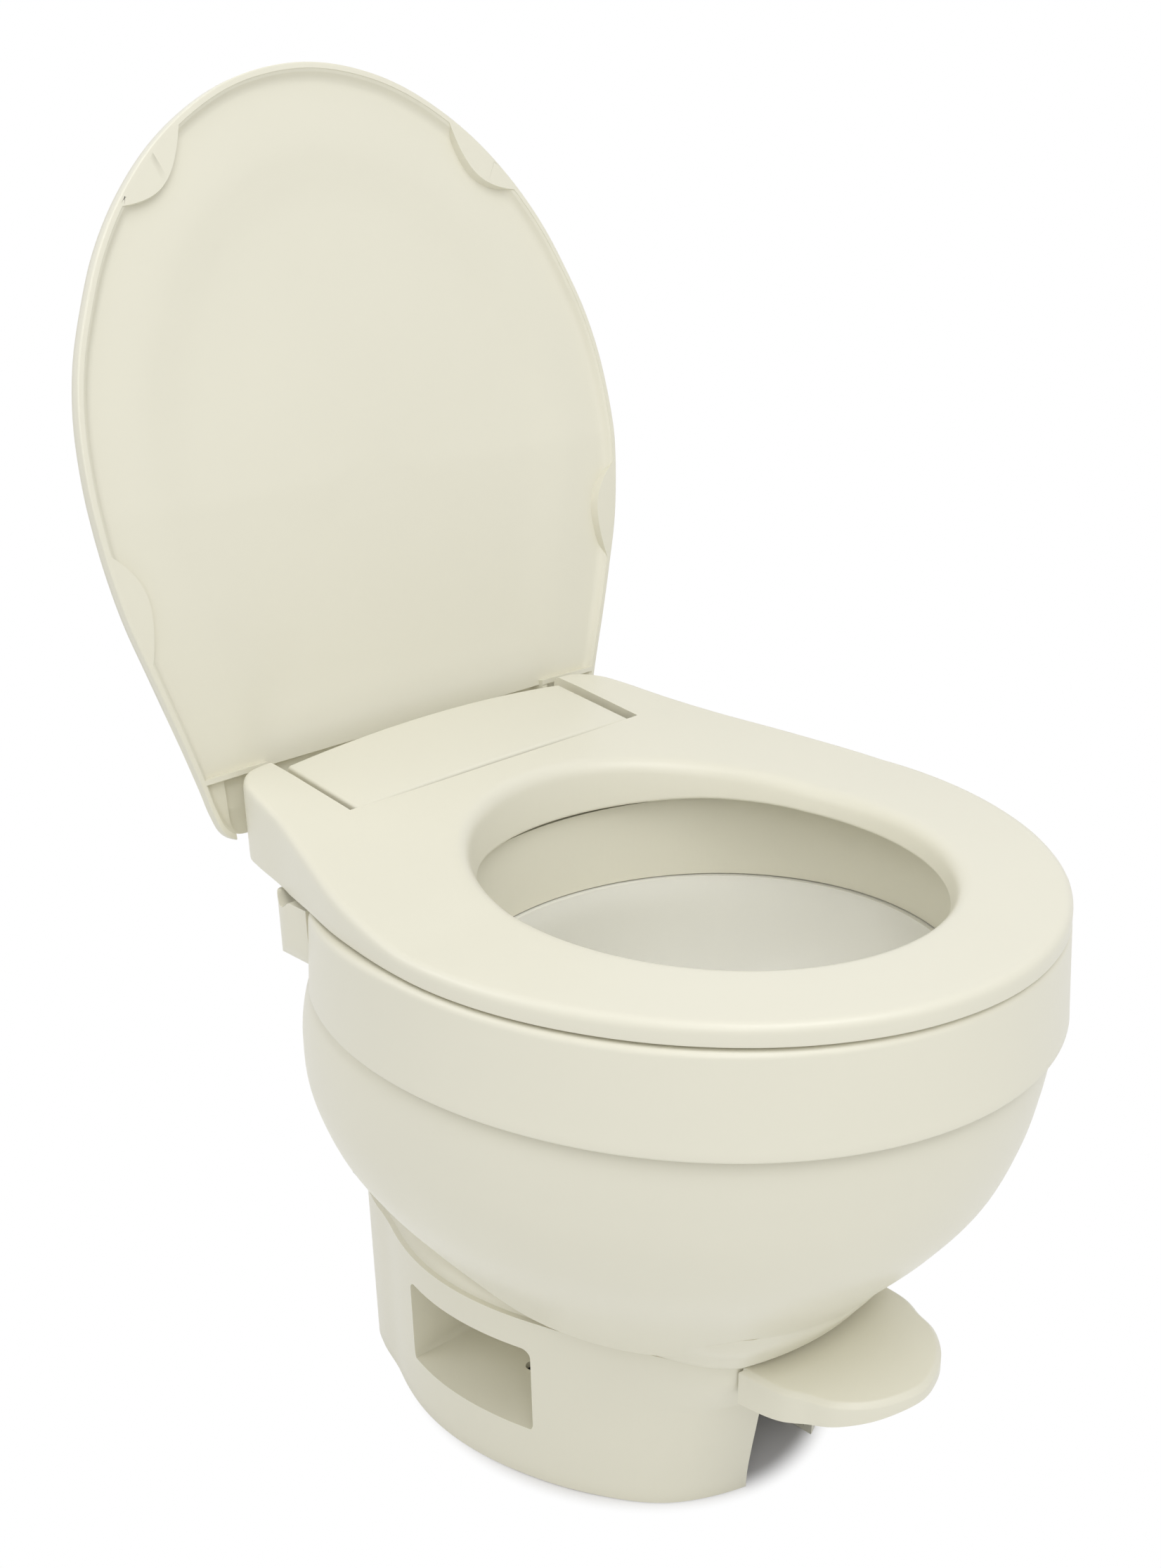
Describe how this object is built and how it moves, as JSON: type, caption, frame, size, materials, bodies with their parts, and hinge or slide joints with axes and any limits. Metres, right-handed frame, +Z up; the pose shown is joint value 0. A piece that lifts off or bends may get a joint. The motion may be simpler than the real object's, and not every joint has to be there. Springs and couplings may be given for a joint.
{
  "type": "rv toilet",
  "caption": "Foot-flushed gravity toilet for a camper, with an oval bowl on a narrow pedestal, a sloping seat, a tall lid and a geared waste ball under the bowl.",
  "frame": {"origin": "on the floor, under the middle of the whole object's box", "axes": "+Z up, -Y towards the front of the bowl and the pedal, +X to the right of someone who stands in front of the toilet and looks at it"},
  "size_m": [0.39, 0.5132, 0.765],
  "materials": {
    "bone_plastic": "semi-gloss, moulded",
    "pale_plastic": "matt, moulded",
    "grey_nylon": "matt",
    "black_rubber": "matt",
    "steel": "satin",
    "brass": "satin",
    "hose_plastic": "soft, slightly cloudy"
  },
  "bodies": {
    "pedestal": {"pedestal_base": "bone_plastic", "bowl_shell": "bone_plastic", "rim_band": "bone_plastic", "inner_bowl": "bone_plastic", "hinge_cover": "bone_plastic", "hinge_block": "bone_plastic", "pedal_pin": "steel", "valve_housing": "pale_plastic", "ball_seal": "black_rubber", "water_valve": "pale_plastic", "inlet_pipe": "pale_plastic", "inlet_nut": "grey_nylon", "lower_hose": "hose_plastic", "upper_hose": "hose_plastic", "vacuum_breaker": "pale_plastic", "rinse_nozzle": "pale_plastic", "floor_seal": "black_rubber", "hinge_pin_left": "steel", "hinge_pin_right": "steel", "hinge_screw_left": "steel", "hinge_screw_right": "steel", "shaft_seal_left": "black_rubber", "shaft_seal_right": "black_rubber", "throat_screw_1": "steel", "throat_screw_2": "steel", "throat_screw_3": "steel", "throat_screw_4": "steel"},
    "seat": {"seat": "bone_plastic", "hinge_bush_left": "grey_nylon", "hinge_bush_right": "grey_nylon", "seat_bumper_left_1": "black_rubber", "seat_bumper_left_2": "black_rubber", "seat_bumper_right_1": "black_rubber", "seat_bumper_right_2": "black_rubber"},
    "lid": {"lid": "bone_plastic"},
    "pedal": {"pedal_pad": "bone_plastic", "pedal_lever": "grey_nylon", "pad_screw": "steel", "pedal_spring": "steel"},
    "ball": {"waste_ball": "grey_nylon", "drive_shaft": "steel", "idle_shaft": "steel", "drive_pinion": "grey_nylon", "valve_cam": "grey_nylon"},
    "plunger": {"water_plunger": "brass"}
  },
  "joints": [
    {"name": "pedal_turn", "type": "hinge", "parent": "pedestal", "child": "pedal", "pos_m": [0, -0.06975, 0.10459], "axis": [1, 0, 0], "range_deg": [0, 18.67], "stiffness_Nm_per_rad": 6, "springref_deg": -25.78},
    {"name": "ball_turn", "type": "hinge", "parent": "pedestal", "child": "ball", "pos_m": [0, 0.02025, 0.138], "axis": [1, 0, 0], "range_deg": [-90, 0]},
    {"name": "plunger_slide", "type": "slide", "parent": "pedestal", "child": "plunger", "axis": [0, 1, 0], "range_m": [0, 0.008]},
    {"name": "seat_turn", "type": "hinge", "parent": "pedestal", "child": "seat", "pos_m": [0, 0.15225, 0.366], "axis": [1, 0, 0], "range_deg": [-92, 0]},
    {"name": "lid_turn", "type": "hinge", "parent": "seat", "child": "lid", "pos_m": [0, 0.15225, 0.366], "axis": [1, 0, 0], "range_deg": [0, 101.9]}
  ],
  "couplings": [
    {"joint": "ball_turn", "follows": "pedal_turn", "ratio": -4.8182},
    {"joint": "plunger_slide", "follows": "pedal_turn", "m_per_rad": 0.024538}
  ]
}
